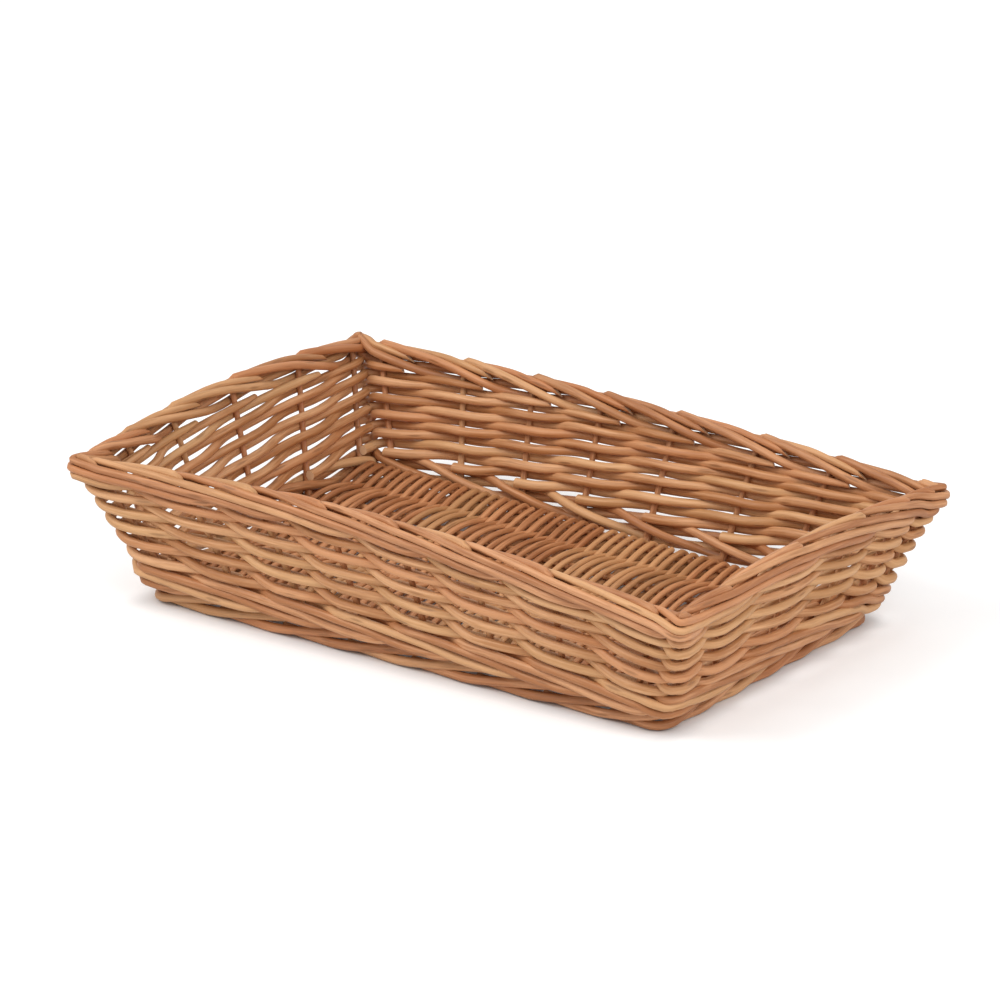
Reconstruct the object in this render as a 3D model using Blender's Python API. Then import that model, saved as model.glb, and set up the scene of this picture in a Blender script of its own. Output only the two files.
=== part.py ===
# Oblong open tray of buff willow: woven floor, leaning stakes, wale, French randing and a rolled border.
# Metres, +Z up. The tray stands on z = 0 with its middle over the origin and its long sides along X.

import math

import bmesh
import bpy
from mathutils import Vector

# The whole tray, measured along the middle of the foot rod and of the rolled border
footLength = 0.378
footWidth = 0.219
rimLength = 0.440
rimWidth = 0.276
rimHeight = 0.085
rimCrown = 0.008
longSideBow = 0.0035

# Corners: how far the corner stakes stand from the sharp corner of the rim, and how much of that is rounded
rimCornerInset = 0.015
rimRoundShare = 0.4
footRoundShare = 0.85

# Rod thicknesses, and the radius that the foot rod is bent to at the corners
footRod = 0.007
footBend = 0.008
baseStick = 0.0048
baseWeaver = 0.0036
stakeRod = 0.0038
waleRod = 0.0042
rimRod = 0.0042

# Least gap between two rods that lie against each other
clearance = 0.0003

# Counts: gaps between stakes, rows and sticks of the floor, rounds of wale, courses of randing
longGaps = 7
shortGaps = 5
floorRows = 50
floorSticks = 5
waleRounds = 3
randCourses = 11

# Floor: how high or low the weaver lies as it rounds the outer stick, and where along a row it turns there
wrapShare = 0.62
turnShares = (1 / 4, 3 / 4)

# The wale goes in front of three stakes and behind the fourth
walePeriod = 4

# Randing: every rod starts this many stakes after the last, and the courses thin towards the tips
randStep = 2
tipPitchShare = 0.8
randOvalShare = 0.85
climbStartShare = 0.45
buttLevelShare = -0.1
tipLevelShare = 0.85

# The weavers lie flat against a stake over this share of a gap, to each side of it
crestShare = 0.14

# Where the rods bend between the two stakes of a corner
cornerShares = (1 / 3, 1 / 2, 2 / 3)

# Rolled border: the strands ride on an arch, in strand pitches, and one stake gap moves a strand one pitch
laySpreadShare = 1.065
archRadiusShare = 0.95
archTopGap = 3.5
archFootShare = -1.56
archEaseShare = 2.5
strandGaps = 6.2
strandTipShare = 0.8
stakeBend = 0.005

# Facets round each kind of rod, and steps round the bends of the stakes and of the foot rod
weaverSides = 4
stakeSides = 5
stickSides = 6
stakeBendSteps = 3
footBendSteps = 4

sideGaps = [longGaps, shortGaps, longGaps, shortGaps]
stakeCount = sum(sideGaps) + len(sideGaps)
stakeRadius = stakeRod / 2
footRadius = footRod / 2
stickRadius = baseStick / 2
strandPitch = rimRod * laySpreadShare + clearance
stickSection = stickRadius / math.cos(math.pi / stickSides)
footSection = footRadius / math.cos(math.pi / stickSides)

# The floor lies between the long foot rods, and its outer sticks pass outside the corner stakes of the ends
stickHeight = footRod + clearance + stickRadius
outerStick = footWidth / 2 - footSection - clearance - baseWeaver - clearance - stickSection
rimStakePlace = rimWidth / 2 - rimCornerInset
stickTop = stickHeight + stickRadius
sideLean = (rimStakePlace - outerStick + baseStick + stakeRod) / (rimHeight - stickTop)
lowStakePlace = outerStick - stickSection - clearance - stakeRadius * math.hypot(1, sideLean)
cornerSlope = (rimStakePlace - lowStakePlace) / (rimHeight - stickTop)
footStakePlace = lowStakePlace - cornerSlope * (stickTop - footRadius)
footCornerInset = footWidth / 2 - footStakePlace


def clearScene():
    for item in list(bpy.data.objects):
        bpy.data.objects.remove(item, do_unlink=True)


def willow(name, colour, roughness):
    material = bpy.data.materials.new(name)
    material.use_nodes = True
    shader = material.node_tree.nodes["Principled BSDF"]
    shader.inputs["Base Color"].default_value = (*colour, 1)
    shader.inputs["Roughness"].default_value = roughness
    shader.inputs["Metallic"].default_value = 0
    material.diffuse_color = (*colour, 1)
    return material


# Skins a row of outlines into one closed rod, with flat ends unless it closes on itself
def skinRod(name, outlines, material, closed=False):
    mesh = bpy.data.meshes.new(name)
    rod = bmesh.new()
    rings = [[rod.verts.new(point) for point in outline] for outline in outlines]
    following = rings[1:] + ([rings[0]] if closed else [])
    for ring, other in zip(rings, following):
        for index in range(len(ring)):
            after = (index + 1) % len(ring)
            face = rod.faces.new((ring[index], ring[after], other[after], other[index]))
            face.smooth = True
    if not closed:
        rod.faces.new(rings[0])
        rod.faces.new(rings[-1])
    bmesh.ops.recalc_face_normals(rod, faces=rod.faces)
    rod.to_mesh(mesh)
    rod.free()
    mesh.materials.append(material)
    made = bpy.data.objects.new(name, mesh)
    bpy.context.scene.collection.objects.link(made)
    return made


# Outline of a rod at one point of its run, given the two directions across it
def outline(middle, across, upward, halfAcross, halfUpward, sides):
    points = []
    for index in range(sides):
        angle = math.tau * index / sides
        out = across * (halfAcross * math.cos(angle))
        points.append(middle + out + upward * (halfUpward * math.sin(angle)))
    return points


# Outline of a weaver that its neighbours press flat above and below
def pressedOutline(middle, across, upward, halfAcross, halfUpward):
    corners = ((1, 1), (-1, 1), (-1, -1), (1, -1))
    return [middle + across * (halfAcross * out) + upward * (halfUpward * up) for out, up in corners]


# Outlines of a round rod that follows a free path, without twisting about it
def roundOutlines(path, radii, sides, firstAcross):
    across = firstAcross.normalized()
    outlines = []
    for index, point in enumerate(path):
        before = path[max(index - 1, 0)]
        after = path[min(index + 1, len(path) - 1)]
        heading = (after - before).normalized()
        across = (across - heading * across.dot(heading)).normalized()
        outlines.append(outline(point, across, heading.cross(across), radii[index], radii[index], sides))
    return outlines


# Where a station lies: stakes stand at whole numbers, counted round the tray from the front left corner
def stationPlace(station, length, width, inset, roundShare):
    station = station % stakeCount
    side = 0
    start = 0
    while side < len(sideGaps) - 1 and station >= start + sideGaps[side] + 1:
        start += sideGaps[side] + 1
        side += 1
    gaps = sideGaps[side]
    angle = side * math.pi / 2
    along = Vector((math.cos(angle), math.sin(angle), 0))
    outward = Vector((math.sin(angle), -math.cos(angle), 0))
    sideLength, sideDistance = (length, width / 2) if side % 2 == 0 else (width, length / 2)
    reach = sideLength / 2 - inset
    share = (station - start) / gaps
    if share <= 1:
        return along * (reach * (2 * share - 1)) + outward * sideDistance, angle, share
    radius = inset * roundShare
    straight = inset - radius
    arc = radius * math.pi / 2
    run = (station - start - gaps) * (2 * straight + arc)
    turn = min(max(run - straight, 0) / arc, 1) * math.pi / 2
    ahead = min(run, straight) + radius * math.sin(turn)
    across = radius * (1 - math.cos(turn)) + max(run - straight - arc, 0)
    return along * (reach + ahead) + outward * (sideDistance - across), angle + turn, 0


# The straight line up the wall at a station: its foot, its lean, the way out of the tray, and its length
def wallLine(station):
    foot = stationPlace(station, footLength, footWidth, footCornerInset, footRoundShare)[0]
    rim, heading, share = stationPlace(station, rimLength, rimWidth, rimCornerInset, rimRoundShare)
    swell = math.sin(math.pi * share)
    level = Vector((math.sin(heading), -math.cos(heading), 0))
    bow = longSideBow * abs(level.y) * swell
    foot = foot + Vector((0, 0, footRadius))
    rim = rim - level * bow + Vector((0, 0, rimHeight + rimCrown * swell))
    lean = (rim - foot).normalized()
    travel = Vector((math.cos(heading), math.sin(heading), 0))
    return foot, lean, travel.cross(lean).normalized(), (rim - foot).length


def wallPoint(station, height, offset):
    foot, lean, outward = wallLine(station)[:3]
    return foot + lean * height + outward * offset


# Where the weavers bend: both sides of each stake, the stake itself at a corner, and the corner's arc
def weaverStations():
    stations = []
    start = 0
    for gaps in sideGaps:
        for gap in range(gaps):
            first = start + gap
            stations.append(first if gap == 0 else first + crestShare)
            stations.append(first + 1 if gap == gaps - 1 else first + 1 - crestShare)
        start += gaps + 1
        stations += [start - 1 + share for share in cornerShares]
    return stations


def stationsBetween(first, last, stations):
    laps = range(int(first // stakeCount), int(last // stakeCount) + 1)
    spread = [lap * stakeCount + station for lap in laps for station in stations]
    return [station for station in spread if first < station < last]


# A rod changes its place across the wall on the straights beside a corner's arc, and keeps it round the arc
def layStation(station):
    start = math.floor(station)
    if start % stakeCount not in cornerGapStarts:
        return station
    share = station - start
    before = min(share / cornerShares[0], 1) / 2
    after = max(share - cornerShares[-1], 0) / (1 - cornerShares[-1]) / 2
    return start + before + after


# How far out a weaver lies, from its side of each stake: +1 in front, -1 behind
def weaverSwing(station, sideOfStake):
    stake = math.floor(station)
    here = sideOfStake(stake)
    there = sideOfStake(stake + 1)
    edge = 0 if stake % stakeCount in cornerGapStarts else crestShare
    share = (layStation(station) - stake - edge) / (1 - 2 * edge)
    return here + (there - here) * min(max(share, 0), 1)


cornerGapStarts = [sum(sideGaps[:side]) + side + sideGaps[side] for side in range(len(sideGaps))]
bendStations = weaverStations()

# The border strands bend at every stake, in the middle of each gap and round the corner arcs
strandStations = []
for start in range(stakeCount):
    shares = cornerShares if start in cornerGapStarts else (1 / 2,)
    strandStations += [start, *(start + share for share in shares)]

# Heights up the wall: stakes stand on the foot rod, the wale clears the stick ends, the randing fills the rest
endSpread = (rimLength - footLength) / 2
sideSpread = (rimWidth - footWidth) / 2
cornerSpread = footCornerInset - rimCornerInset
steepest = math.atan2(max(endSpread, sideSpread), rimHeight - footRadius)
sideCornerReach = math.hypot(endSpread + cornerSpread, sideSpread)
endCornerReach = math.hypot(endSpread, sideSpread + cornerSpread)
steepestStake = math.atan2(max(sideCornerReach, endCornerReach), rimHeight - footRadius)
waleReach = stakeRadius + clearance + waleRod / 2
stakeFoot = (footRadius + clearance) / math.cos(steepestStake) + stakeRadius * math.tan(steepestStake)
waleFoot = (stickTop + clearance - footRadius) / math.cos(steepest)
walePitch = waleRod + clearance
randFoot = waleFoot + waleRounds * walePitch
archDrop = -archFootShare * strandPitch
randHeadroom = archDrop + rimRod / 2 + clearance


# A rod keeps its level over the first part of each course's run and climbs to the next over the rest
def climb(run):
    part = run - math.floor(run)
    return math.floor(run) + max(part - climbStartShare, 0) / (1 - climbStartShare)


# The pitch of the courses shrinks evenly from the first level to the last
firstLevel = climb(buttLevelShare)
lastLevel = climb(randCourses - 1 + tipLevelShare) + 1
levelSpan = lastLevel - firstLevel


def levelShare(level):
    part = (level - firstLevel) / levelSpan
    return part * (1 - (1 - tipPitchShare) / 2 * part) / (1 - (1 - tipPitchShare) / 2)


# One thick rod bent round the bottom edge, its two ends butted at the middle of the back
def makeFootRod(material):
    upward = Vector((0, 0, 1))
    backward = Vector((0, 1, 0))
    bendX = footLength / 2 - footBend
    bendY = footWidth / 2 - footBend
    path = [(Vector((-clearance / 2, footWidth / 2, footRadius)), backward)]
    for corner, (signX, signY) in enumerate(((-1, 1), (-1, -1), (1, -1), (1, 1))):
        bendCentre = Vector((signX * bendX, signY * bendY, footRadius))
        for step in range(footBendSteps + 1):
            angle = math.pi / 2 * (corner + 1 + step / footBendSteps)
            across = Vector((math.cos(angle), math.sin(angle), 0))
            path.append((bendCentre + across * footBend, across))
    path.append((Vector((clearance / 2, footWidth / 2, footRadius)), backward))
    outlines = [outline(point, out, upward, footSection, footSection, stickSides) for point, out in path]
    skinRod("foot_rod", outlines, material)


def stickPlaces():
    spacing = 2 * outerStick / (floorSticks - 1)
    return [-outerStick + spacing * index for index in range(floorSticks)]


def makeBaseSticks(material):
    across = Vector((0, 1, 0))
    upward = Vector((0, 0, 1))
    for index, place in enumerate(stickPlaces()):
        ends = [Vector((x, place, stickHeight)) for x in (-footLength / 2, footLength / 2)]
        outlines = [outline(end, across, upward, stickSection, stickSection, stickSides) for end in ends]
        skinRod("base_stick_%d" % (index + 1), outlines, material)


# One rod to and fro across the sticks: over one and under the next, and round the outer stick at each turn
def makeBaseWeaver(material):
    places = stickPlaces()
    spacing = places[1] - places[0]
    flat = stickRadius * math.tan(math.pi / stickSides)
    lift = stickRadius + clearance + baseWeaver / 2
    crest = lift + 2 * (flat + baseWeaver / 2) * lift / spacing
    wrap = stickSection + clearance + baseWeaver / 2
    floorLength = footLength - 2 * (footSection + clearance)
    rowPitch = floorLength / floorRows
    halfRow = (rowPitch - clearance) / 2
    path = []
    for row in range(floorRows):
        x = -floorLength / 2 + rowPitch * (row + 1 / 2)
        order = range(floorSticks) if row % 2 == 0 else range(floorSticks - 1, -1, -1)
        for stick in order:
            side = 1 if (row + stick) % 2 == 0 else -1
            path.append(Vector((x, places[stick], stickHeight + side * crest)))
        if row < floorRows - 1:
            outer = order[-1]
            edge = places[outer] + math.copysign(wrap, places[outer])
            side = 1 if (row + outer) % 2 == 0 else -1
            for share in turnShares:
                path.append(Vector((x + rowPitch * share, edge, stickHeight + side * crest * wrapShare)))
                side = -side
    outlines = []
    alongTray = Vector((1, 0, 0))
    for index, point in enumerate(path):
        before = path[max(index - 1, 0)]
        after = path[min(index + 1, len(path) - 1)]
        heading = (after - before).normalized()
        upward = alongTray.cross(heading).normalized()
        outlines.append(outline(point, alongTray, upward, halfRow, baseWeaver / 2, weaverSides))
    skinRod("base_weaver", outlines, material)


def makeWale(material):
    halfHigh = waleRod / 2
    for lap in range(waleRounds):
        height = waleFoot + walePitch * lap + halfHigh

        def sideOfStake(stake):
            return -1 if stake % walePeriod == lap else 1

        outlines = []
        for station in bendStations:
            foot, lean, outward = wallLine(station)[:3]
            offset = waleReach * weaverSwing(station, sideOfStake)
            middle = foot + lean * height + outward * offset
            outlines.append(pressedOutline(middle, outward, lean, halfHigh, halfHigh))
        skinRod("wale_rod_%d" % (lap + 1), outlines, material, closed=True)


# One rod of the randing: its butt starts inside a stake, and it climbs one course every randStep stakes. It runs
# clockwise seen from above, so its own stations count back from the front right corner
def makeRandRod(index, material):
    origin = randStep * index + 1
    firstStake = origin + index % 2
    first = origin + randStep * buttLevelShare
    last = origin + randStep * (randCourses - 1 + tipLevelShare)

    def sideOfStake(stake):
        return -1 if stake < firstStake or (stake - firstStake) % 2 == 0 else 1

    outlines = []
    for station in [first] + stationsBetween(first, last, bendStations) + [last]:
        foot, lean, outward, length = wallLine(longGaps - station)
        room = length - randHeadroom - randFoot
        level = climb((station - origin) / randStep)
        low = randFoot + room * levelShare(level)
        high = randFoot + room * levelShare(level + 1) - clearance
        thick = high - low
        wide = thick * randOvalShare
        reach = stakeRadius + clearance + wide / 2
        offset = reach * weaverSwing(station, sideOfStake)
        middle = foot + lean * ((low + high) / 2) + outward * offset
        outlines.append(pressedOutline(middle, outward, lean, wide / 2, thick / 2))
    skinRod("rand_rod_%02d" % (index + 1), outlines, material)


# Where a border strand lies, so many gaps past its stake, in strand pitches out and up from the rim line
def strandPlace(gapsOn):
    step = 2 * math.asin(1 / 2 / archRadiusShare)
    half = math.pi / 2 / step
    footOfArch = -(archTopGap - 1 - half)
    if gapsOn < 1:
        rise = footOfArch - archFootShare
        return -archRadiusShare * gapsOn, archFootShare + rise * gapsOn ** archEaseShare
    past = gapsOn - archTopGap
    if abs(past) <= half:
        return archRadiusShare * math.sin(past * step), archRadiusShare * math.cos(past * step)
    return math.copysign(archRadiusShare, past), half - abs(past)


# A stake stands on the foot rod, climbs the wall, bends over at the rim and runs on round it as a strand
def makeStake(name, stake, material):
    outward, length = wallLine(stake)[2:]
    archHeight = length - archDrop
    gapLength = (wallPoint(stake + 1, length, 0) - wallPoint(stake, length, 0)).length
    path = [wallPoint(stake, stakeFoot, 0)]
    radii = [stakeRadius]
    for step in range(stakeBendSteps + 1):
        angle = math.pi / 2 * step / stakeBendSteps
        run = stake + stakeBend * (1 - math.cos(angle)) / gapLength
        height = archHeight - stakeBend * (1 - math.sin(angle))
        path.append(wallPoint(run, height, strandPlace(layStation(run) - stake)[0] * strandPitch))
        radii.append(stakeRadius + (rimRod / 2 - stakeRadius) * step / stakeBendSteps)
    turned = stake + 2 * stakeBend / gapLength
    last = stake + strandGaps
    for station in stationsBetween(turned, last, strandStations) + [last]:
        out, up = strandPlace(layStation(station) - stake)
        reach = wallLine(station)[3]
        path.append(wallPoint(station, reach + up * strandPitch, out * strandPitch))
        taper = 1 - (1 - strandTipShare) * (station - stake) / strandGaps
        radii.append(rimRod / 2 * taper)
    skinRod(name, roundOutlines(path, radii, stakeSides, outward), material)


def makeStakes(material):
    stake = 0
    for side, gaps in zip(("front", "right", "back", "left"), sideGaps):
        for index in range(gaps + 1):
            makeStake("%s_stake_%d" % (side, index + 1), stake, material)
            stake += 1


clearScene()
makeFootRod(willow("foot_willow", (0.42, 0.19, 0.09), 0.55))
makeBaseSticks(willow("stick_willow", (0.40, 0.20, 0.09), 0.6))
makeBaseWeaver(willow("floor_willow", (0.42, 0.21, 0.10), 0.6))
makeWale(willow("wale_willow", (0.50, 0.27, 0.14), 0.55))
randWillow = willow("rand_willow", (0.54, 0.30, 0.16), 0.55)
for rodIndex in range(stakeCount // randStep):
    makeRandRod(rodIndex, randWillow)
makeStakes(willow("stake_willow", (0.56, 0.31, 0.16), 0.5))
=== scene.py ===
# The looks of the wicker tray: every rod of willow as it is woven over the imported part, in a pale studio.
# Metres, +Z up. Stations count the side stakes round the tray from the front left corner, seen from above.
# The weaving goes the other way, so a rod's run is how many gaps it has gone back along the stations.

import math
import random

import bpy
import numpy as np
from mathutils import Matrix, Vector, noise


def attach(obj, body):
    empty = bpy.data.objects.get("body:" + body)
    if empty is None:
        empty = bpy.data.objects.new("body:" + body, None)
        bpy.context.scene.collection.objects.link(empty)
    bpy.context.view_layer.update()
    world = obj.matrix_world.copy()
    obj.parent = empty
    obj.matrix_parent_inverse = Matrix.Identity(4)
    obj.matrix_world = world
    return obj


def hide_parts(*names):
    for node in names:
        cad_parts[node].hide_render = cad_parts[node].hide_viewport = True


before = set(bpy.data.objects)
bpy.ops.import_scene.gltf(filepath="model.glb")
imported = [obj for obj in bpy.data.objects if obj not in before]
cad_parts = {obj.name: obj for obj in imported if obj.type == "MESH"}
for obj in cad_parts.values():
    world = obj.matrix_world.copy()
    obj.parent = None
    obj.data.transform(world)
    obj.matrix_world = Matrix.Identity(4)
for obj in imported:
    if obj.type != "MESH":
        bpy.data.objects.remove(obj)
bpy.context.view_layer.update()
print("frame loaded")

# The shape of the whole tray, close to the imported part's, with fuller corners and a slightly uneven rim
tray = {
    "footLength": 0.378, "footWidth": 0.219, "rimLength": 0.440, "rimWidth": 0.276, "rimHeight": 0.085,
    "rimCrown": 0.008, "longSideBow": 0.0035, "rimInset": 0.015, "footInset": 0.0203,
    "rimRound": 0.12, "footRound": 0.6, "cornerBulge": 0.0036, "footLine": 0.0035,
    "longGaps": 7, "shortGaps": 5, "warp": 0.005, "lift": 0.0015,
}
sideGaps = [tray["longGaps"], tray["shortGaps"]] * 2
stakeCount = sum(sideGaps) + len(sideGaps)

# Hand-set stakes are not quite even.
# How far each stands off its even place, in gaps, at the foot and at the rim
stakeShifts = [
    (0.10, -0.10), (0.16, 0.05), (0.16, 0.0), (0.08, -0.13), (0.04, -0.22), (0.04, -0.32), (0.03, -0.30),
    (-0.04, -0.02), (-0.15, -0.18), (-0.24, -0.24), (0.25, 0.25), (0.60, 0.62), (0.60, 0.60), (0.2, 0.2),
    (0.0, 0.0), (-0.10, 0.0), (-0.14, -0.08), (0.03, -0.03), (0.05, -0.08), (0.0, -0.15), (-0.03, -0.2),
    (0.05, -0.03), (-0.28, -0.22), (0.22, 0.0), (0.60, 0.35), (0.75, 0.55), (0.62, 0.45), (0.2, 0.1),
]

# The tray has settled out of square: its back left corner has moved back.
# The move begins past a still stretch at the right and grows over a reach along each side
settled = {"back": 0.0085, "still": 0.14, "reachX": 0.30, "reachY": 0.26, "fade": 1.5}


def settle(points):
    fromRight = tray["rimLength"] / 2 - points[:, 0]
    fromFront = tray["rimWidth"] / 2 + points[:, 1]
    nearLeft = np.clip((fromRight - settled["still"]) / settled["reachX"], 0, 1)
    nearBack = np.clip(fromFront / settled["reachY"], 0, 1)
    moved = points.copy()
    moved[:, 1] += settled["back"] * nearLeft ** settled["fade"] * nearBack
    return moved


# Slow unevenness. A kind is its strength, its paces along and across, and its own layer of the noise
def waver(kind, along, across):
    strength, pace, apart, layer = kind
    return strength * noise.noise(Vector((along * pace, across * apart, layer)))


def smooth(share):
    return share * share * (3 - 2 * share)


# The wall

# The place on the outline at a station, the heading of the side there and the share of the side passed
def stationPlace(station, length, width, inset, roundShare, bulge=0.0):
    station = station % stakeCount
    side = 0
    start = 0
    while side < len(sideGaps) - 1 and station >= start + sideGaps[side] + 1:
        start += sideGaps[side] + 1
        side += 1
    gaps = sideGaps[side]
    angle = side * math.pi / 2
    along = Vector((math.cos(angle), math.sin(angle), 0))
    outward = Vector((math.sin(angle), -math.cos(angle), 0))
    sideLength, sideDistance = (length, width / 2) if side % 2 == 0 else (width, length / 2)
    reach = sideLength / 2 - inset
    share = (station - start) / gaps
    if share <= 1:
        return along * (reach * (2 * share - 1)) + outward * sideDistance, angle, share
    # Round the corner: straight on, an arc and straight again
    cornerShare = station - start - gaps
    radius = inset * roundShare
    straight = inset - radius
    arc = radius * math.pi / 2
    run = cornerShare * (2 * straight + arc)
    turn = min(max(run - straight, 0) / arc, 1) * math.pi / 2
    ahead = min(run, straight) + radius * math.sin(turn)
    across = radius * (1 - math.cos(turn)) + max(run - straight - arc, 0)
    push = bulge * math.sin(math.pi * cornerShare) ** 2 / math.sqrt(2)
    return along * (reach + ahead + push) + outward * (sideDistance - across + push), angle + turn, 0


def footPlace(station):
    return stationPlace(station, tray["footLength"], tray["footWidth"], tray["footInset"],
                        tray["footRound"])


def rimPlace(station):
    return stationPlace(station, tray["rimLength"], tray["rimWidth"], tray["rimInset"], tray["rimRound"],
                        tray["cornerBulge"])


# How far the stakes at a station stand off their even places, blended between the stakes to both sides
def stationShift(station):
    stake = math.floor(station)
    share = smooth(station - stake)
    here, there = stakeShifts[stake % stakeCount], stakeShifts[(stake + 1) % stakeCount]
    return [here[end] + (there[end] - here[end]) * share for end in (0, 1)]


def levelOutward(heading):
    return Vector((math.sin(heading), -math.cos(heading), 0))


class WallLine:
    # The line up the wall at a station: its foot, lean and length, and the ways along and out of the wall
    def __init__(self, station):
        footShift, rimShift = stationShift(station)
        foot = footPlace(station + footShift)[0]
        rim, heading, share = rimPlace(station + rimShift)
        swell = math.sin(math.pi * share)
        level = levelOutward(heading)
        bow = tray["longSideBow"] * abs(level.y) * swell
        uneven = tray["warp"] * math.cos(math.tau * (station + 0.5) / stakeCount) + tray["lift"]
        rim = rim - level * bow + Vector((0, 0, tray["rimHeight"] + tray["rimCrown"] * swell + uneven))
        self.foot = foot + Vector((0, 0, tray["footLine"]))
        self.length = (rim - self.foot).length
        self.lean = (rim - self.foot).normalized()
        self.travel = Vector((math.cos(heading), math.sin(heading), 0))
        self.outward = self.travel.cross(self.lean).normalized()

    def at(self, height, out):
        return self.foot + self.lean * height + self.outward * out


def gapLength(stake):
    return (WallLine(stake).foot - WallLine(stake - 1).foot).length


# Smooth passage through a table of rows whose first column is the run
def followTable(table, run):
    if run <= table[0][0]:
        return table[0][1:]
    for row in range(len(table) - 1):
        if run <= table[row + 1][0]:
            break
    else:
        return table[-1][1:]
    here, there = table[row], table[row + 1]
    before, after = table[max(row - 1, 0)], table[min(row + 2, len(table) - 1)]
    span = there[0] - here[0]
    share = (run - here[0]) / span
    values = []
    for column in range(1, len(here)):
        leave = (there[column] - before[column]) / (there[0] - before[0]) * span
        arrive = (after[column] - here[column]) / (after[0] - here[0]) * span
        square, cube = share * share, share ** 3
        values.append(here[column] * (2 * cube - 3 * square + 1) + leave * (cube - 2 * square + share)
                      + there[column] * (3 * square - 2 * cube) + arrive * (cube - square))
    return values


# Rods

class Rod:
    # Points along one rod, with the way across it and its two half thicknesses at each
    def __init__(self, seed, closed=False):
        self.seed = seed
        self.closed = closed
        self.points = []
        self.acrosses = []
        self.halves = []
        self.slants = [0, 0]

    def add(self, point, across, halfAcross, halfUp):
        self.points.append(point)
        self.acrosses.append(across)
        self.halves.append((halfAcross, halfUp))


# The surface of every rod: ridges along it, slow lumps, and a thicker ring where each leaf grew
skin = {
    "sides": 12, "ridges": 0.10, "ridgeLength": 0.03, "ridgeTurn": 1.3, "lumps": (0.035, 20, 7.31, 0.5),
    "knots": 0.045, "knotWidth": 0.0026, "knotGap": 0.036, "knotGapSpread": 0.014,
    # How a rod's seed sets it apart from the others
    "ridgeSeed": 5.3, "knotSeed": 0.618, "knotPlaceSeed": 0.37, "grainSeed": 3.7, "toneSeed": 1013,
    "toneFirst": 5,
}
# Where a rod lies on its piece's texture sheet, in shares of the sheet and of the strips across it
sheet = {
    "side": 0.06, "sideFill": 0.88, "end": 0.01, "endFill": 0.96, "cutSize": 0.3, "cutLow": 0.25,
    "cutStep": 0.5, "spare": 1.0001,
}


# How much thicker than its mean a rod is at a place along it
def thickness(along, seed):
    knotGap = skin["knotGap"] + skin["knotGapSpread"] * ((seed * skin["knotSeed"]) % 1)
    place = (along / knotGap + seed * skin["knotPlaceSeed"]) % 1
    ring = math.exp(-(((place - 0.5) * knotGap) / skin["knotWidth"]) ** 2)
    return 1 + waver(skin["lumps"], along, seed) + skin["knots"] * ring


def ridge(along, angle, seed):
    return 1 + skin["ridges"] * noise.noise(Vector((
        along / skin["ridgeLength"], skin["ridgeTurn"] * math.cos(angle),
        skin["ridgeTurn"] * math.sin(angle) + seed * skin["ridgeSeed"])))


def runLengths(points):
    return np.concatenate([[0], np.cumsum(np.linalg.norm(np.diff(points, axis=0), axis=1))])


# Rings of points round a rod, and its half thicknesses with the lumps and knots in
def rodRings(rod, points, length, angles):
    if rod.closed:
        heading = np.roll(points, -1, axis=0) - np.roll(points, 1, axis=0)
    else:
        heading = np.gradient(points, axis=0)
    heading /= np.linalg.norm(heading, axis=1)[:, None]
    across = np.array([tuple(way) for way in rod.acrosses])
    across -= heading * np.sum(across * heading, axis=1)[:, None]
    across /= np.linalg.norm(across, axis=1)[:, None]
    upward = np.cross(heading, across)
    halves = np.array(rod.halves) * np.array([thickness(run, rod.seed) for run in length])[:, None]
    ridges = np.array([[ridge(run, angle, rod.seed) for angle in angles] for run in length])[:, :, None]
    rings = points[:, None, :] \
        + across[:, None, :] * (halves[:, 0][:, None] * np.cos(angles))[:, :, None] * ridges \
        + upward[:, None, :] * (halves[:, 1][:, None] * np.sin(angles))[:, :, None] * ridges
    if not rod.closed:
        for end, way in ((0, 1), (-1, -1)):
            shift = rod.slants[end] * halves[end, 1] * np.sin(angles) * way
            rings[end] += heading[end] * shift[:, None]
    return rings, halves


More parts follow.
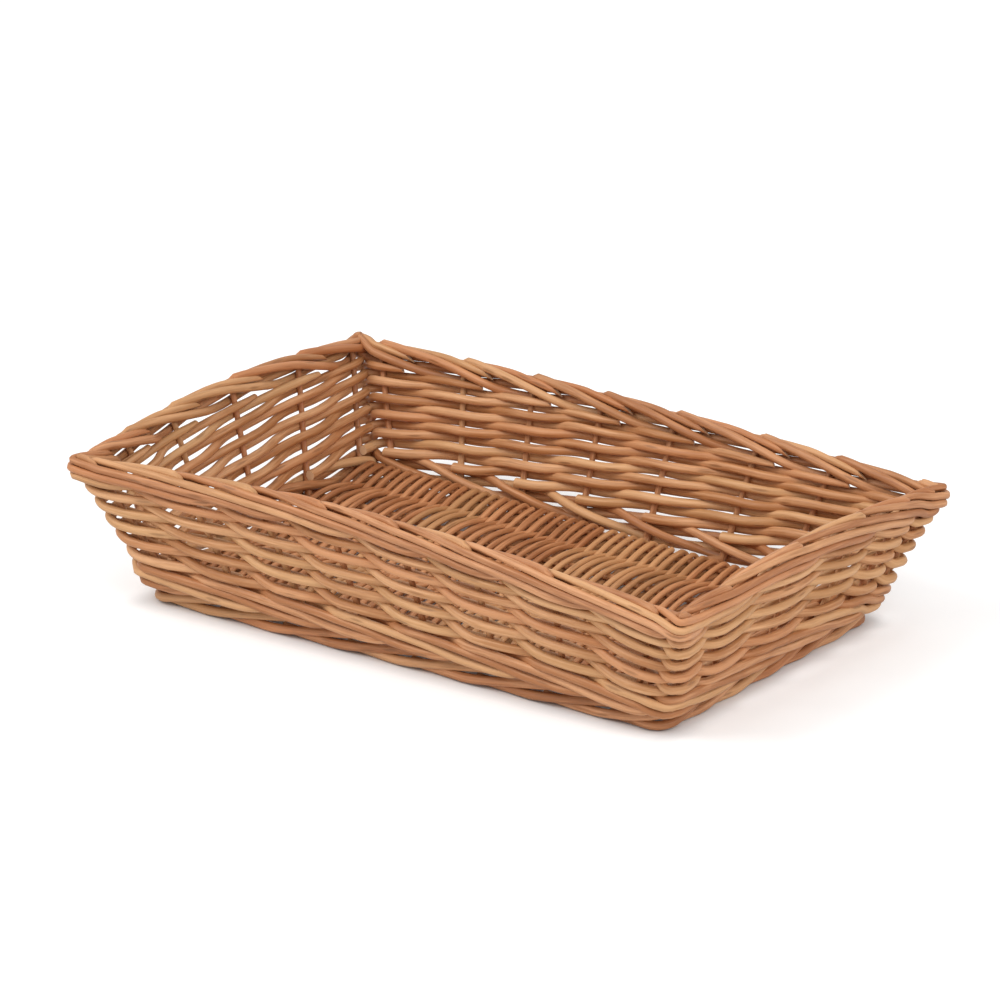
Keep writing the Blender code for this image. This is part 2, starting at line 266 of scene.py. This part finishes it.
class RodMesh:
    # The mesh of one piece, rod by rod, with its texture sheet and what its willow asks of each point
    def __init__(self, total, girth):
        self.sides = skin["sides"]
        self.angles = np.arange(self.sides) * math.tau / self.sides
        self.strips = max(1, round(math.sqrt(total / girth)))
        self.stripLength = total / self.strips * sheet["spare"]
        self.done = 0.0
        self.verts = []
        self.faces = []
        self.uvs = []
        self.places = []
        self.tones = []
        self.warms = []
        self.cuts = []

    def addPoints(self, points, places, tone, warm, cut):
        first = len(self.verts)
        self.verts += [tuple(point) for point in points]
        self.places += places
        self.tones += [tone] * len(points)
        self.warms += [warm] * len(points)
        self.cuts += [cut] * len(points)
        return first

    def addRod(self, rod, points, length):
        rings, halves = rodRings(rod, points, length, self.angles)
        dice = random.Random(rod.seed * skin["toneSeed"] + skin["toneFirst"])
        tone, warm = dice.random(), dice.random()
        grain = [run + rod.seed * skin["grainSeed"] for run in length]
        places = [(along, half[0] * math.cos(angle), half[1] * math.sin(angle))
                  for along, half in zip(grain, halves) for angle in self.angles]
        first = self.addPoints(rings.reshape(-1, 3), places, tone, warm, 0.0)
        self.addTube(first, rod.closed, length)
        if not rod.closed:
            for end in (0, -1):
                self.addCut(rings[end], end == 0, (grain[end], 0, 0), tone, warm)
        self.done += length[-1]

    def sheetAcross(self, strip, edge):
        return (strip + sheet["side"] + sheet["sideFill"] * edge / self.sides) / (self.strips + 1)

    def addTube(self, first, closed, length):
        count = len(length)
        meanStep = np.diff(length).mean()
        for index in range(count if closed else count - 1):
            here = first + index * self.sides
            there = first + ((index + 1) % count) * self.sides
            start = self.done + length[index]
            strip = int(start / self.stripLength)
            low = (start - strip * self.stripLength) / self.stripLength
            step = (length[index + 1] - length[index]) if index + 1 < count else meanStep
            bottom = sheet["end"] + sheet["endFill"] * low
            top = sheet["end"] + sheet["endFill"] * (low + step / self.stripLength)
            for side in range(self.sides):
                after = (side + 1) % self.sides
                self.faces.append((here + side, here + after, there + after, there + side))
                left, right = self.sheetAcross(strip, side), self.sheetAcross(strip, side + 1)
                self.uvs += [(left, bottom), (right, bottom), (right, top), (left, top)]

    def addCut(self, ring, isButt, place, tone, warm):
        first = self.addPoints([*ring, ring.mean(axis=0)], [place] * (self.sides + 1), tone, warm, 1.0)
        spot = (self.strips + 0.5) / (self.strips + 1)
        size = sheet["cutSize"] / (self.strips + 1)
        middle = sheet["cutLow"] + sheet["cutStep"] * isButt
        for side in range(self.sides):
            after = (side + 1) % self.sides
            corner = (first + after, first + side) if isButt else (first + side, first + after)
            self.faces.append((*corner, first + self.sides))
            for angle in (self.angles[side], self.angles[after]):
                self.uvs.append((spot + size * math.cos(angle), middle + size * math.sin(angle)))
            self.uvs.append((spot, middle))

    def makeMesh(self, name):
        mesh = bpy.data.meshes.new(name)
        mesh.from_pydata(self.verts, [], self.faces)
        for label, kind, part, values in (
                ("rodPlace", "FLOAT_VECTOR", "vector", self.places),
                ("rodTone", "FLOAT", "value", self.tones),
                ("rodWarm", "FLOAT", "value", self.warms),
                ("cutEnd", "FLOAT", "value", self.cuts)):
            store = mesh.attributes.new(label, kind, "POINT")
            store.data.foreach_set(part, np.array(values, dtype=np.float32).reshape(-1))
        layer = mesh.uv_layers.new(name="OFBake")
        layer.data.foreach_set("uv", np.array(self.uvs, dtype=np.float32).reshape(-1))
        mesh.polygons.foreach_set("use_smooth", [len(face) == 4 for face in self.faces])
        return mesh


def addPiece(name, rods, material, nodes):
    paths = [settle(np.array([tuple(point) for point in rod.points])) for rod in rods]
    lengths = [runLengths(points) for points in paths]
    girth = math.tau * sum(sum(half) / 2 for half in rods[0].halves) / len(rods[0].halves)
    woven = RodMesh(sum(length[-1] for length in lengths), girth)
    for rod, points, length in zip(rods, paths, lengths):
        woven.addRod(rod, points, length)
    mesh = woven.makeMesh(name)
    mesh.materials.append(material)
    piece = bpy.data.objects.new(name, mesh)
    bpy.context.scene.collection.objects.link(piece)
    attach(piece, "root")
    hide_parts(*nodes)


# Willow

class Wire:
    # A shader socket that takes part in plain arithmetic
    def __init__(self, graph, socket):
        self.graph = graph
        self.socket = socket

    def maths(self, operation, first, second, clamp=False):
        settings = {"operation": operation, "use_clamp": clamp}
        return self.graph.wire(self.graph.add("ShaderNodeMath", settings, {0: first, 1: second}))

    def __add__(self, other):
        return self.maths("ADD", self, other)

    def __radd__(self, other):
        return self.maths("ADD", other, self)

    def __sub__(self, other):
        return self.maths("SUBTRACT", self, other)

    def __rsub__(self, other):
        return self.maths("SUBTRACT", other, self)

    def __mul__(self, other):
        return self.maths("MULTIPLY", self, other)

    def __rmul__(self, other):
        return self.maths("MULTIPLY", other, self)

    def __abs__(self):
        return self.maths("ABSOLUTE", self, 0)

    def clamped(self):
        return self.maths("ADD", self, 0, True)


class Graph:
    # The nodes of one material or world
    def __init__(self, owner):
        owner.use_nodes = True
        self.tree = owner.node_tree
        self.tree.nodes.clear()

    def add(self, kind, settings, inputs):
        node = self.tree.nodes.new(kind)
        for key, value in settings.items():
            setattr(node, key, value)
        for key, value in inputs.items():
            socket = node.inputs[key]
            if isinstance(value, Wire):
                self.tree.links.new(value.socket, socket)
            else:
                socket.default_value = value
        return node

    def wire(self, node, output=0):
        return Wire(self, node.outputs[output])

    def attribute(self, name, output="Fac"):
        return self.wire(self.add("ShaderNodeAttribute", {"attribute_name": name}, {}), output)

    def stretch(self, vector, scale):
        made = self.add("ShaderNodeVectorMath", {"operation": "MULTIPLY"}, {0: vector, 1: scale})
        return self.wire(made)

    # Noise stretched along the rod. A grain is its scale along and across, its detail and its roughness
    def noise(self, vector, grain):
        along, across, detail, roughness = grain
        return self.wire(self.add("ShaderNodeTexNoise", {}, {
            "Vector": self.stretch(vector, (along, across, across)), "Scale": 1.0, "Detail": detail,
            "Roughness": roughness}))

    def blend(self, factor, first, second):
        made = self.add("ShaderNodeMix", {"data_type": "RGBA"}, {0: factor, 6: first, 7: second})
        return self.wire(made, 2)

    def spread(self, value, low, high):
        return self.wire(self.add("ShaderNodeMapRange", {"interpolation_type": "SMOOTHSTEP"}, {
            "Value": value, "From Min": low, "From Max": high}))


def rgb(red, green, blue):
    return (red, green, blue, 1)


black, white = rgb(0, 0, 0), rgb(1, 1, 1)

wallLook = {
    "dark": rgb(0.43, 0.180, 0.062), "light": rgb(0.76, 0.420, 0.210), "red": rgb(0.52, 0.185, 0.062),
    "pale": rgb(0.66, 0.400, 0.175), "stain": rgb(0.28, 0.100, 0.032), "scar": rgb(0.17, 0.065, 0.022),
    "fibre": rgb(0.34, 0.140, 0.050), "cut": rgb(0.80, 0.520, 0.300),
    "rodSpread": 0.85, "patchSpread": 1.9, "streakSpread": 2.8, "redShare": 0.5, "paleShare": 0.45,
    "stainShare": 0.42, "scarShare": 0.5, "fibreShare": 0.42, "cutShare": 0.85,
    "streaks": (34, 620, 4.0, 0.55), "patches": (9, 70, 3.0, 0.55), "fibres": (110, 2600, 3.0, 0.55),
    "stains": (22, 240, 4.0, 0.6), "stainRange": (0.60, 0.78), "budScale": (26, 190, 190),
    "budRange": (0.08, 0.20), "redRange": (0.55, 1.0), "paleRange": (0.6, 1.0),
    "roughness": 0.52, "streakRoughness": 0.22, "stainRoughness": 0.08, "bump": 0.75, "bumpDepth": 0.0005,
    "streakHeight": 0.6, "fibreHeight": 0.35, "scarHeight": 0.5, "patchHeight": 0.3,
    "ior": 1.45, "sheen": 0.04, "sheenRoughness": 0.35,
}
rimLook = {**wallLook, "dark": rgb(0.37, 0.140, 0.050), "light": rgb(0.69, 0.345, 0.168)}
footLook = {**wallLook, "dark": rgb(0.41, 0.160, 0.056), "light": rgb(0.70, 0.365, 0.180),
            "redShare": 0.65}
floorLook = {**wallLook, "dark": rgb(0.30, 0.100, 0.030), "light": rgb(0.60, 0.270, 0.115),
             "redShare": 0.6}


def willow(name, look):
    material = bpy.data.materials.new(name)
    graph = Graph(material)
    place = graph.attribute("rodPlace", "Vector")
    tone = graph.attribute("rodTone")
    warm = graph.attribute("rodWarm")
    cut = graph.attribute("cutEnd")
    streaks = graph.noise(place, look["streaks"])
    patches = graph.noise(place, look["patches"])
    fibres = graph.noise(place, look["fibres"])
    # Light and dark along the rod, and from rod to rod
    share = (tone - 0.5) * look["rodSpread"] + (patches - 0.5) * look["patchSpread"] \
        + (streaks - 0.5) * look["streakSpread"] + 0.5
    colour = graph.blend(share.clamped(), look["dark"], look["light"])
    # Some rods run to red where bark was, some to a greyer yellow
    reddened = graph.spread(warm, *look["redRange"]) * look["redShare"]
    greyed = graph.spread(1 - warm, *look["paleRange"]) * look["paleShare"]
    colour = graph.blend(greyed, graph.blend(reddened, colour, look["red"]), look["pale"])
    stain = graph.spread(graph.noise(place, look["stains"]), *look["stainRange"])
    colour = graph.blend(stain * look["stainShare"], colour, look["stain"])
    # Small scars where the buds grew
    buds = graph.add("ShaderNodeTexVoronoi", {"feature": "F1"}, {
        "Vector": graph.stretch(place, look["budScale"]), "Scale": 1.0})
    scar = 1 - graph.spread(graph.wire(buds), *look["budRange"])
    colour = graph.blend(scar * look["scarShare"], colour, look["scar"])
    colour = graph.blend(fibres * look["fibreShare"], colour, look["fibre"])
    colour = graph.blend(cut * look["cutShare"], colour, look["cut"])
    rough = look["roughness"] + (streaks - 0.5) * look["streakRoughness"] + stain * look["stainRoughness"]
    height = streaks * look["streakHeight"] + fibres * look["fibreHeight"] - scar * look["scarHeight"] \
        + patches * look["patchHeight"]
    bump = graph.add("ShaderNodeBump", {}, {
        "Strength": look["bump"], "Distance": look["bumpDepth"], "Height": height})
    shader = graph.add("ShaderNodeBsdfPrincipled", {}, {
        "Base Color": colour, "Roughness": rough.clamped(), "Normal": graph.wire(bump), "IOR": look["ior"],
        "Coat Weight": look["sheen"], "Coat Roughness": look["sheenRoughness"]})
    graph.add("ShaderNodeOutputMaterial", {}, {"Surface": graph.wire(shader)})
    return material


stakeWillow = willow("stakeWillow", rimLook)
randWillow = willow("randWillow", wallLook)
waleWillow = willow("waleWillow", footLook)
floorWillow = willow("floorWillow", floorLook)
stickWillow = willow("stickWillow", floorLook)
print("willow mixed")


# Siding

# French randing: 28 tapered rods, each one gap further round, in front of one stake and behind the next.
# The heights are the rods' levels above the foot line where the wall is as high as wallLength
randing = {
    "heights": [0.0280, 0.0342, 0.0400, 0.0458, 0.0514, 0.0568, 0.0620, 0.0670, 0.0718, 0.0763, 0.0805],
    "wallLength": 0.092, "buttStart": -0.05, "tipEnd": 10.30, "buttHalf": 0.00315, "tipHalf": 0.00262,
    "tipTaper": 0.35, "flatness": 0.92, "stakeRoom": 0.0017, "crest": 0.26, "lag": 0.03, "climbHold": 0.09,
    "overshoot": 0.2, "step": 20, "slants": [0.1, 0.5], "seed": 100, "rodsPerSolid": 2,
    "thickWaver": (0.08, 0.6, 6.7, 4), "heightWaver": (0.0004, 1.7, 5.1, 0),
    "outWaver": (0.0004, 1.3, 3.3, 9), "wallSway": (0.0011, 0.9, 55, 3.3),
}


def randHeight(level):
    heights = randing["heights"]
    low = min(max(math.floor(level), 0), len(heights) - 2)
    return heights[low] + (heights[low + 1] - heights[low]) * (level - low)


def randRod(index):
    rod = Rod(randing["seed"] + index)
    levels = len(randing["heights"]) - 1
    steps = int((randing["tipEnd"] - randing["buttStart"]) * randing["step"])
    for step in range(steps + 1):
        run = randing["buttStart"] + (randing["tipEnd"] - randing["buttStart"]) * step / steps
        line = WallLine(index - run)
        # It keeps its height past each stake and climbs to the next in the gap
        climbed = run - randing["climbHold"] * math.sin(math.tau * run)
        height = randHeight(min(max(climbed, -randing["overshoot"]), levels + randing["overshoot"]))
        height *= 1 + (line.length / randing["wallLength"] - 1) * min(max(climbed / levels, 0), 1)
        share = min(max(run / levels, 0), 1)
        half = randing["buttHalf"] + (randing["tipHalf"] - randing["buttHalf"]) * share
        half *= 1 + waver(randing["thickWaver"], run, index)
        if run > levels:
            half *= 1 - randing["tipTaper"] * (run - levels) / (randing["tipEnd"] - levels)
        swing = -math.cos(math.pi * max(run - randing["lag"], 0))
        reach = randing["stakeRoom"] + half * randing["flatness"]
        offset = reach * swing * (1 + randing["crest"] * (1 - swing * swing))
        # Rods that touch sway together
        height += waver(randing["wallSway"], index - run, height)
        height += waver(randing["heightWaver"], run, index)
        offset += waver(randing["outWaver"], run, index)
        rod.add(line.at(height, offset), line.outward, half * randing["flatness"], half)
    rod.slants = randing["slants"]
    return rod


for index in range(stakeCount):
    node = "rand_rod_%02d" % (index // randing["rodsPerSolid"] + 1)
    addPiece("frenchRod_%02d" % (index + 1), [randRod(index)], randWillow, [node])
print("siding woven")


# Stakes and border

stakes = {
    "footHalf": 0.0030, "lowHalf": 0.0026, "wallHalf": 0.00185, "strandHalf": 0.00258, "tipHalf": 0.0020,
    "lowShare": 0.35, "strandShare": 0.4, "strandAcross": 0.97, "strandUp": 1.03, "groundRoom": 1.13,
    "bend": 0.0030, "topRise": 0.0038, "wallFoot": 0.0130, "evenGap": 0.061,
    "footSpread": 0.0003, "wallSpread": 0.0002, "wallBends": 9, "slants": [0.4, 2.2], "seed": 300,
    "footSteps": 36, "wallSteps": 33, "bendSteps": 8, "borderSteps": 110,
    "upWaver": (0.35, 1.1, 4.7, 1), "outWaver": (0.25, 1.3, 2.9, 5), "waverStart": 2,
    "ownSeed": 17, "ownFirst": 3,
}
# The border strand of a stake: gaps run on past the stake, then millimetres out and up from the rim line
borderTable = [
    (0.05, -0.5, 3.8), (0.2, -2.0, 3.5), (0.45, -3.9, 2.0), (0.75, -5.3, -0.3), (1.0, -5.7, -2.9),
    (1.2, -5.4, -5.2), (1.38, -4.0, -7.3), (1.55, -0.6, -9.0), (1.75, 3.0, -9.9), (2.0, 4.5, -9.3),
    (2.25, 4.7, -7.4), (2.5, 4.8, -5.6), (3.0, 4.7, -3.2), (3.5, 4.0, -0.5), (4.0, 2.9, 1.6),
    (4.2, 2.1, 2.6), (4.5, 0.4, 3.3), (4.75, -1.4, 3.3), (5.0, -3.9, 1.9), (5.2, -3.6, 0.1),
    (5.38, -2.2, -1.6),
]
# The same stake below the wale: gaps, then millimetres out from the foot line and up from the ground
footTable = [
    (-0.03, -2.6, 14.5), (0.05, -1.6, 13.2), (0.15, -0.4, 12.3), (0.3, 0.5, 11.3), (0.6, 1.3, 9.4),
    (0.9, 1.8, 7.2), (1.2, 1.9, 5.0), (1.45, 1.5, 3.6), (1.7, 0.4, 2.9), (1.9, -0.6, 2.7),
    (2.15, -1.9, 2.6), (2.35, -3.0, 2.6),
]
millimetre = 0.001


# From its cut butt in the foot, back along the foot to where it rises
def addFootStrand(rod, stake, spread):
    firstRun, lastRun = footTable[0][0], footTable[-1][0]
    for step in range(stakes["footSteps"] + 1):
        run = lastRun - (lastRun - firstRun) * step / stakes["footSteps"]
        out, up = followTable(footTable, run)
        place, heading, _ = footPlace(stake - run)
        level = levelOutward(heading)
        half = stakes["lowHalf"] + (stakes["footHalf"] - stakes["lowHalf"]) * max(run, 0) / lastRun
        height = max(up * millimetre, half * stakes["groundRoom"])
        out = out * millimetre + stakes["footSpread"] * spread
        rod.add(place + level * out + Vector((0, 0, height)), level, half, half)


# Up the wall and over at the rim
def addUpright(rod, stake, spread):
    line = WallLine(stake)
    first = stakes["wallFoot"]
    last = line.length + stakes["topRise"] - stakes["bend"]
    for step in range(stakes["wallSteps"] + 1):
        share = step / stakes["wallSteps"]
        low = max(0, 1 - share / stakes["lowShare"])
        half = stakes["wallHalf"] + (stakes["lowHalf"] - stakes["wallHalf"]) * low
        out = stakes["wallSpread"] * spread * math.sin(share * stakes["wallBends"])
        rod.add(line.at(first + (last - first) * share, out), line.outward, half, half)
    for step in range(1, stakes["bendSteps"]):
        angle = math.pi / 2 * step / stakes["bendSteps"]
        point = line.at(last + stakes["bend"] * math.sin(angle), 0)
        point -= line.travel * stakes["bend"] * (1 - math.cos(angle))
        rod.add(point, line.outward, stakes["wallHalf"], stakes["wallHalf"])


def addBorderStrand(rod, stake):
    firstRun = borderTable[0][0] * stakes["evenGap"] / gapLength(stake)
    lastRun = borderTable[-1][0]
    for step in range(stakes["borderSteps"] + 1):
        run = firstRun + (lastRun - firstRun) * step / stakes["borderSteps"]
        out, up = followTable(borderTable, run)
        loose = min(run * stakes["waverStart"], 1)
        up += waver(stakes["upWaver"], run, stake) * loose
        out += waver(stakes["outWaver"], run, stake) * loose
        taper = max(0, run / lastRun - stakes["strandShare"]) / (1 - stakes["strandShare"])
        half = stakes["strandHalf"] + (stakes["tipHalf"] - stakes["strandHalf"]) * taper
        line = WallLine(stake - run)
        rod.add(line.at(line.length + up * millimetre, out * millimetre), line.outward,
                half * stakes["strandAcross"], half * stakes["strandUp"])


def stakeRod(stake):
    rod = Rod(stakes["seed"] + stake)
    dice = random.Random(stake * stakes["ownSeed"] + stakes["ownFirst"])
    addFootStrand(rod, stake, dice.uniform(-1, 1))
    addUpright(rod, stake, dice.uniform(-1, 1))
    addBorderStrand(rod, stake)
    rod.slants = stakes["slants"]
    return rod


names = ["%s_stake_%d" % (side, index + 1)
         for side, gaps in zip(("front", "right", "back", "left"), sideGaps) for index in range(gaps + 1)]
for stake, node in enumerate(names):
    addPiece("stake_%02d" % (stake + 1), [stakeRod(stake)], stakeWillow,
             [node, "foot_rod"])
print("stakes and border set")


# Wale

# Four rods that run side by side, each in front of three stakes and behind the fourth
wale = {
    "rods": 4, "solids": 3, "low": 0.0140, "pitch": 0.0063, "half": 0.00280, "flatness": 0.95,
    "stakeRoom": 0.0018, "step": 18, "seed": 500,
    "heightWaver": (0.0004, 1.17, 1.1, 3.3), "thickWaver": (0.08, 0.35, 9.1, 2),
}
# One turn of a rod: gaps, then its side of the stakes from -1 inside to 1 outside, and its level
waleTable = [
    (0, -1, 1.15), (0.25, -0.75, 0.75), (0.5, 0.1, 0.4), (0.72, 0.85, 0.15), (1, 1, 0.0), (1.5, 1, 0.3),
    (2, 1, 1.0), (3, 1, 1.95), (3.3, 0.8, 2.0), (3.5, 0.1, 1.9), (3.75, -0.75, 1.55), (4, -1, 1.15),
]


def waleRod(index):
    rod = Rod(wale["seed"] + index, closed=True)
    for step in range(stakeCount * wale["step"]):
        run = step / wale["step"]
        side, level = followTable(waleTable, run % wale["rods"])
        line = WallLine(index - run)
        height = wale["low"] + wale["pitch"] * level + waver(wale["heightWaver"], index - run, level)
        half = wale["half"] * (1 + waver(wale["thickWaver"], run, index))
        offset = (wale["stakeRoom"] + half) * side
        rod.add(line.at(height, offset), line.outward, half * wale["flatness"], half)
    return rod


for index in range(wale["rods"]):
    node = "wale_rod_%d" % min(index + 1, wale["solids"])
    addPiece("waleRod_%d" % (index + 1), [waleRod(index)], waleWillow, [node])
print("wale woven")


# Floor

# Sticks along the tray, and weavers to and fro over and under them.
# The floor rises toward the back left corner
floorPlan = {
    "sticks": 5, "stickY": 0.1015, "stickZ": 0.0112, "stickHalf": 0.0024, "stickEnd": 0.1870,
    "stickFlat": 0.95, "stickTaper": 0.1, "stickSteps": 60, "stickWaver": (0.0004, 9, 4.4, 0),
    "stickSeed": 600,
    "rows": 98, "length": 0.3725, "weaverHalf": 0.00180, "rowsPerRod": 7, "step": 9, "rowTaper": 0.10,
    "thinnest": 0.90, "thickest": 1.12, "tilt": 0.0014, "rowFlat": 1.22, "crest": 0.1, "seed": 98,
    "turnSteps": 8, "turnHalf": 0.9, "turnReach": 0.95, "rowSeed": 700,
    "driftWaver": (0.0012, 0.7, 12, 7), "heightWaver": (0.0005, 0.9, 20, 2),
    "riseSlope": 0.0355, "riseFrom": 0.163, "riseMost": 0.0098,
}
gapsAcross = floorPlan["sticks"] - 1
stickSpacing = 2 * floorPlan["stickY"] / gapsAcross
lengthwise, sideways = Vector((1, 0, 0)), Vector((0, 1, 0))


def floorHeight(x, y):
    nearBack = min(max(y / tray["footWidth"] + 0.5, 0), 1)
    rise = min(max(floorPlan["riseSlope"] * (floorPlan["riseFrom"] - x), 0), floorPlan["riseMost"])
    return floorPlan["stickZ"] + rise * nearBack


def stickRod(index):
    rod = Rod(floorPlan["stickSeed"] + index)
    way = -1 if index % 2 else 1
    for step in range(floorPlan["stickSteps"] + 1):
        share = step / floorPlan["stickSteps"]
        x = floorPlan["stickEnd"] * (2 * share - 1)
        y = -floorPlan["stickY"] + stickSpacing * index
        taper = floorPlan["stickTaper"] * way * (share - 0.5)
        half = floorPlan["stickHalf"] * (1 + taper) * floorPlan["stickFlat"]
        bend = waver(floorPlan["stickWaver"], x, index)
        rod.add(Vector((x, y + bend, floorHeight(x, y))), sideways, half, half)
    return rod


# One row across the floor, over and under the sticks
def addRow(rod, row, x, way, half, tilt):
    lift = floorPlan["stickHalf"] + floorPlan["weaverHalf"]
    steps = gapsAcross * floorPlan["step"]
    for step in range(steps + 1):
        share = step / steps
        y = way * floorPlan["stickY"] * (2 * share - 1)
        rise = way * math.cos(math.pi * (y + floorPlan["stickY"]) / stickSpacing)
        arch = lift * rise * (1 + floorPlan["crest"] * (1 - rise * rise))
        drift = waver(floorPlan["driftWaver"], row, y) * math.sin(math.pi * share)
        drift += tilt * math.sin(math.tau * share)
        z = floorHeight(x, y) + arch + waver(floorPlan["heightWaver"], row, y)
        rod.add(Vector((x + drift, y, z)), lengthwise, half * floorPlan["rowFlat"], half)


# The turn round the last stick into the next row
def addTurn(rod, x, way, rowPitch):
    lift = floorPlan["stickHalf"] + floorPlan["weaverHalf"]
    half = floorPlan["weaverHalf"] * floorPlan["turnHalf"]
    for step in range(1, floorPlan["turnSteps"]):
        angle = math.pi * step / floorPlan["turnSteps"]
        y = way * (floorPlan["stickY"] + lift * floorPlan["turnReach"] * math.sin(angle))
        z = floorHeight(x, y) + lift * way * math.cos(angle)
        rod.add(Vector((x + rowPitch * (1 - math.cos(angle)) / 2, y, z)), lengthwise, half, half)


def floorRods():
    rowPitch = floorPlan["length"] / floorPlan["rows"]
    dice = random.Random(floorPlan["seed"])
    rods = []
    for row in range(floorPlan["rows"]):
        x = -floorPlan["length"] / 2 + rowPitch * (row + 0.5)
        way = 1 if row % 2 == 0 else -1
        place = row % floorPlan["rowsPerRod"]
        if place == 0:
            rods.append(Rod(floorPlan["rowSeed"] + row))
        thin = (1 - floorPlan["rowTaper"] * place / floorPlan["rowsPerRod"]) \
            * dice.uniform(floorPlan["thinnest"], floorPlan["thickest"])
        tilt = dice.uniform(-floorPlan["tilt"], floorPlan["tilt"])
        addRow(rods[-1], row, x, way, floorPlan["weaverHalf"] * thin, tilt)
        if row < floorPlan["rows"] - 1 and place < floorPlan["rowsPerRod"] - 1:
            addTurn(rods[-1], x, way, rowPitch)
    return rods


for index in range(floorPlan["sticks"]):
    addPiece("baseStick_%d" % (index + 1), [stickRod(index)], stickWillow,
             ["base_stick_%d" % (index + 1)])
addPiece("floorWeavers", floorRods(), floorWillow, ["base_weaver"])
print("floor woven")


# Studio

studio = {
    "groundSize": 12, "groundDrop": 0.0002, "paper": rgb(0.8, 0.8, 0.8), "glow": 0.27, "worldLight": 0.75,
    # Half sizes and fading edge of the painted shade box under the tray, where the floor gets no glow
    "shadeHalfX": 0.190, "shadeHalfY": 0.112, "shadeFade": 0.02, "lampTarget": (0, 0, 0.03),
}
lamps = {"keyLamp": {"place": (-1.1, -1.5, 2.0), "size": 1.6, "power": 34},
         "fillLamp": {"place": (1.8, -0.6, 1.4), "size": 1.8, "power": 21}}


def makePaper():
    paper = bpy.data.materials.new("studioPaper")
    graph = Graph(paper)
    seen = graph.wire(graph.add("ShaderNodeLightPath", {}, {}), "Is Camera Ray")
    diffuse = graph.add("ShaderNodeBsdfDiffuse", {}, {"Color": studio["paper"]})
    # Painted shade under the tray: the floor gets no glow there, so what shows through its weave stays dark
    spot = graph.wire(graph.add("ShaderNodeTexCoord", {}, {}), "Object")
    split = graph.add("ShaderNodeSeparateXYZ", {}, {0: spot})
    pastX, pastY = (
        graph.spread(abs(graph.wire(split, axis)), studio[half], studio[half] + studio["shadeFade"])
        for axis, half in (("X", "shadeHalfX"), ("Y", "shadeHalfY")))
    light = graph.blend(pastX + pastY - pastX * pastY, black, white)
    glow = graph.add("ShaderNodeEmission", {}, {"Color": light, "Strength": seen * studio["glow"]})
    both = graph.add("ShaderNodeAddShader", {}, {0: graph.wire(diffuse), 1: graph.wire(glow)})
    graph.add("ShaderNodeOutputMaterial", {}, {"Surface": graph.wire(both)})
    return paper


def makeStudio():
    size = studio["groundSize"]
    corners = [(-size, -size, 0), (size, -size, 0), (size, size, 0), (-size, size, 0)]
    mesh = bpy.data.meshes.new("studioFloor")
    mesh.from_pydata(corners, [], [(0, 1, 2, 3)])
    mesh.materials.append(makePaper())
    ground = bpy.data.objects.new("studioFloor", mesh)
    ground.location.z = -studio["groundDrop"]
    bpy.context.scene.collection.objects.link(ground)
    world = bpy.data.worlds.new("studioAir")
    bpy.context.scene.world = world
    graph = Graph(world)
    seen = graph.wire(graph.add("ShaderNodeLightPath", {}, {}), "Is Camera Ray")
    strength = seen * (1 - studio["worldLight"]) + studio["worldLight"]
    air = graph.add("ShaderNodeBackground", {}, {"Color": white, "Strength": strength})
    graph.add("ShaderNodeOutputWorld", {}, {"Surface": graph.wire(air)})


def addLamp(name, place, size, power):
    light = bpy.data.lights.new(name, "AREA")
    light.shape = "DISK"
    light.size = size
    light.energy = power
    lamp = bpy.data.objects.new(name, light)
    lamp.location = place
    aim = Vector(studio["lampTarget"]) - Vector(place)
    lamp.rotation_euler = aim.to_track_quat("-Z", "Y").to_euler()
    bpy.context.scene.collection.objects.link(lamp)


makeStudio()
for name, lamp in lamps.items():
    addLamp(name, **lamp)
print("studio lit")


# Camera

# Fitted to the photograph: degrees round and up, metres from the tray's middle, and pixels of the frame
shot = {
    "azimuth": 35.75, "elevation": 20.35, "roll": -0.34, "distance": 4.5223, "right": -0.00491,
    "up": 0.06745, "focalPixels": 7420, "framePixels": 1000, "sensorWidth": 36, "near": 0.1, "far": 100,
}


def makeCamera():
    azimuth, elevation, roll = (math.radians(shot[key]) for key in ("azimuth", "elevation", "roll"))
    back = Vector((math.sin(azimuth) * math.cos(elevation), -math.cos(azimuth) * math.cos(elevation),
                   math.sin(elevation)))
    level = Vector((math.cos(azimuth), math.sin(azimuth), 0))
    upright = back.cross(level)
    right = level * math.cos(roll) + upright * math.sin(roll)
    upward = upright * math.cos(roll) - level * math.sin(roll)
    lens = bpy.data.cameras.new("camera")
    lens.sensor_width = shot["sensorWidth"]
    lens.lens = shot["focalPixels"] / shot["framePixels"] * shot["sensorWidth"]
    lens.clip_start, lens.clip_end = shot["near"], shot["far"]
    camera = bpy.data.objects.new("camera", lens)
    place = Matrix((right, upward, back)).transposed().to_4x4()
    place.translation = back * shot["distance"] + right * shot["right"] + upward * shot["up"]
    camera.matrix_world = place
    bpy.context.scene.collection.objects.link(camera)
    bpy.context.scene.camera = camera


makeCamera()
bpy.context.scene.view_settings.view_transform = "Standard"
